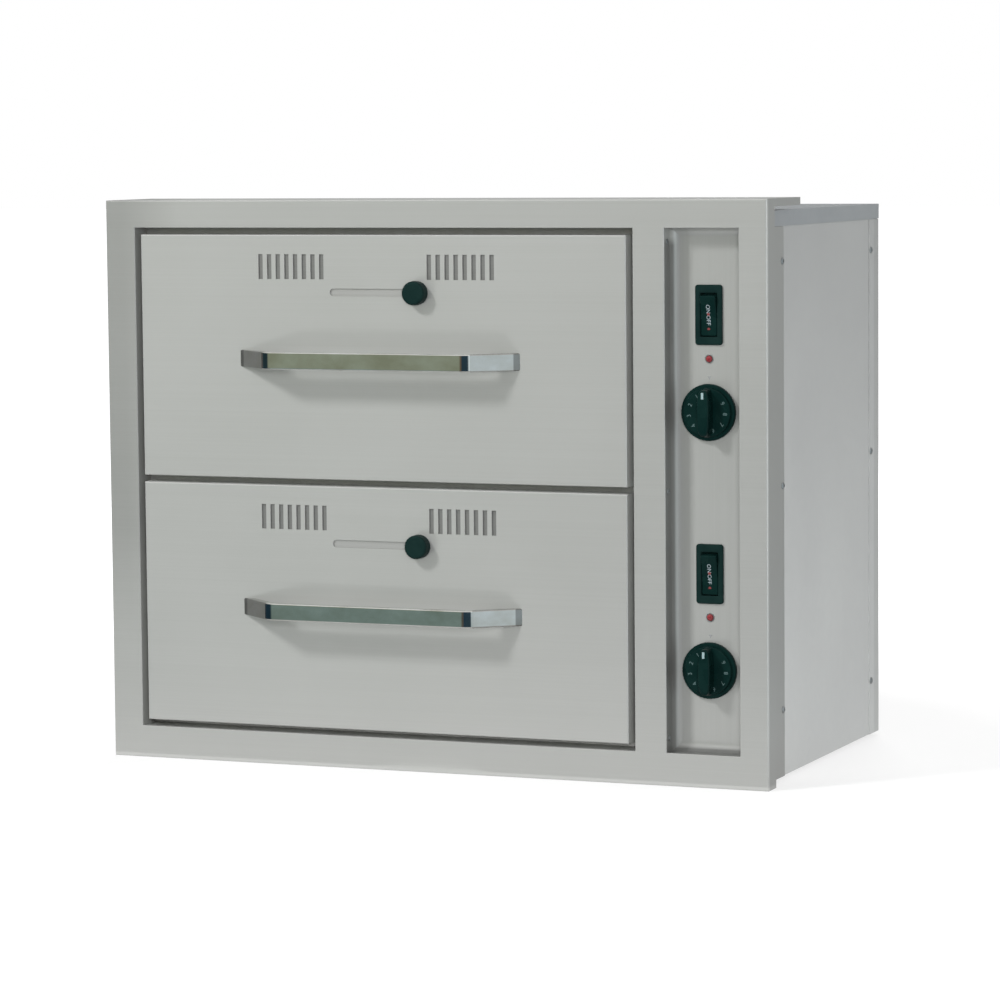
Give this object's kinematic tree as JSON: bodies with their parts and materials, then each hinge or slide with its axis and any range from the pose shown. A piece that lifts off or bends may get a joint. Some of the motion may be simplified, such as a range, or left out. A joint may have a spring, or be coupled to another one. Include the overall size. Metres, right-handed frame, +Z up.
{
  "type": "built-in drawer food warmer",
  "caption": "Built-in stainless food warmer: stacked pan drawers on telescopic slides with sliding vent shutters, beside a recessed column of switches and thermostat dials.",
  "frame": {"origin": "on the floor plane under the centre of the overall box, handles included", "axes": "+X to the right seen from the front, +Y from the front to the back, +Z up"},
  "size_m": [0.74, 0.453, 0.596],
  "materials": {
    "stainless": "satin brushed stainless steel",
    "casing_steel": "aluminised sheet steel",
    "galvanised_steel": "galvanised sheet",
    "liner_steel": "aluminised sheet",
    "mineral_wool": "mineral wool blanket",
    "screw_steel": "plated steel",
    "inlet_plastic": "moulded black",
    "pan_steel": "bright deep-drawn stainless steel",
    "chrome": "polished",
    "slide_zinc": "zinc plated, greased",
    "element_sheath": "oxidised alloy sheath",
    "black_plastic": "semi-gloss phenolic black",
    "pilot_lens": "translucent red lens"
  },
  "bodies": {
    "cabinet": {"face_frame": "stainless", "top_panel": "galvanised_steel", "base_panel": "casing_steel", "left_side_panel": "casing_steel", "right_side_panel": "casing_steel", "nut_strips": "galvanised_steel", "back_panel": "casing_steel", "side_screws": "screw_steel", "cable_inlet": "inlet_plastic", "liner_left": "liner_steel", "liner_right": "liner_steel", "liner_floor": "liner_steel", "liner_top": "liner_steel", "liner_back": "liner_steel", "bay_divider": "liner_steel", "insulation": "mineral_wool", "heat_shield": "galvanised_steel", "control_panel": "stainless", "element_clips": "galvanised_steel", "upper_thermostat": "galvanised_steel", "upper_switch_housing": "black_plastic", "upper_pilot_light": "pilot_lens", "upper_element": "element_sheath", "upper_fixed_slides": "slide_zinc", "lower_thermostat": "galvanised_steel", "lower_switch_housing": "black_plastic", "lower_pilot_light": "pilot_lens", "lower_element": "element_sheath", "lower_fixed_slides": "slide_zinc"},
    "upper_drawer": {"upper_front_skin": "stainless", "upper_front_liner": "stainless", "upper_front_pad": "mineral_wool", "upper_handle": "chrome", "upper_handle_nuts": "screw_steel", "upper_vent_guides": "galvanised_steel", "upper_carriage": "stainless", "upper_pan": "pan_steel", "upper_inner_slides": "slide_zinc"},
    "upper_slide_mid": {"upper_mid_slides": "slide_zinc"},
    "upper_vent": {"upper_shutter": "galvanised_steel", "upper_slider_knob": "black_plastic"},
    "upper_dial": {"upper_knob": "black_plastic", "upper_spindle": "screw_steel"},
    "upper_switch": {"upper_rocker": "black_plastic"},
    "lower_drawer": {"lower_front_skin": "stainless", "lower_front_liner": "stainless", "lower_front_pad": "mineral_wool", "lower_handle": "chrome", "lower_handle_nuts": "screw_steel", "lower_vent_guides": "galvanised_steel", "lower_carriage": "stainless", "lower_pan": "pan_steel", "lower_inner_slides": "slide_zinc"},
    "lower_slide_mid": {"lower_mid_slides": "slide_zinc"},
    "lower_vent": {"lower_shutter": "galvanised_steel", "lower_slider_knob": "black_plastic"},
    "lower_dial": {"lower_knob": "black_plastic", "lower_spindle": "screw_steel"},
    "lower_switch": {"lower_rocker": "black_plastic"}
  },
  "joints": [
    {"name": "upper_drawer_slide", "type": "slide", "parent": "cabinet", "child": "upper_drawer", "axis": [0, -1, 0], "range_m": [0, 0.36]},
    {"name": "upper_mid_slide", "type": "slide", "parent": "cabinet", "child": "upper_slide_mid", "axis": [0, -1, 0], "range_m": [0, 0.18]},
    {"name": "upper_vent_slide", "type": "slide", "parent": "upper_drawer", "child": "upper_vent", "axis": [-1, 0, 0], "range_m": [0, 0.095]},
    {"name": "upper_dial_turn", "type": "hinge", "parent": "cabinet", "child": "upper_dial", "pos_m": [0.3005, -0.1745, 0.3805], "axis": [0, 1, 0], "range_deg": [0, 300]},
    {"name": "upper_switch_rock", "type": "hinge", "parent": "cabinet", "child": "upper_switch", "pos_m": [0.3005, -0.1605, 0.479], "axis": [-1, 0, 0], "range_deg": [0, 16]},
    {"name": "lower_drawer_slide", "type": "slide", "parent": "cabinet", "child": "lower_drawer", "axis": [0, -1, 0], "range_m": [0, 0.36]},
    {"name": "lower_mid_slide", "type": "slide", "parent": "cabinet", "child": "lower_slide_mid", "axis": [0, -1, 0], "range_m": [0, 0.18]},
    {"name": "lower_vent_slide", "type": "slide", "parent": "lower_drawer", "child": "lower_vent", "axis": [-1, 0, 0], "range_m": [0, 0.095]},
    {"name": "lower_dial_turn", "type": "hinge", "parent": "cabinet", "child": "lower_dial", "pos_m": [0.3005, -0.1745, 0.1175], "axis": [0, 1, 0], "range_deg": [0, 300]},
    {"name": "lower_switch_rock", "type": "hinge", "parent": "cabinet", "child": "lower_switch", "pos_m": [0.3005, -0.1605, 0.216], "axis": [-1, 0, 0], "range_deg": [0, 16]}
  ],
  "couplings": [
    {"joint": "upper_mid_slide", "follows": "upper_drawer_slide", "ratio": 0.5},
    {"joint": "lower_mid_slide", "follows": "lower_drawer_slide", "ratio": 0.5}
  ]
}
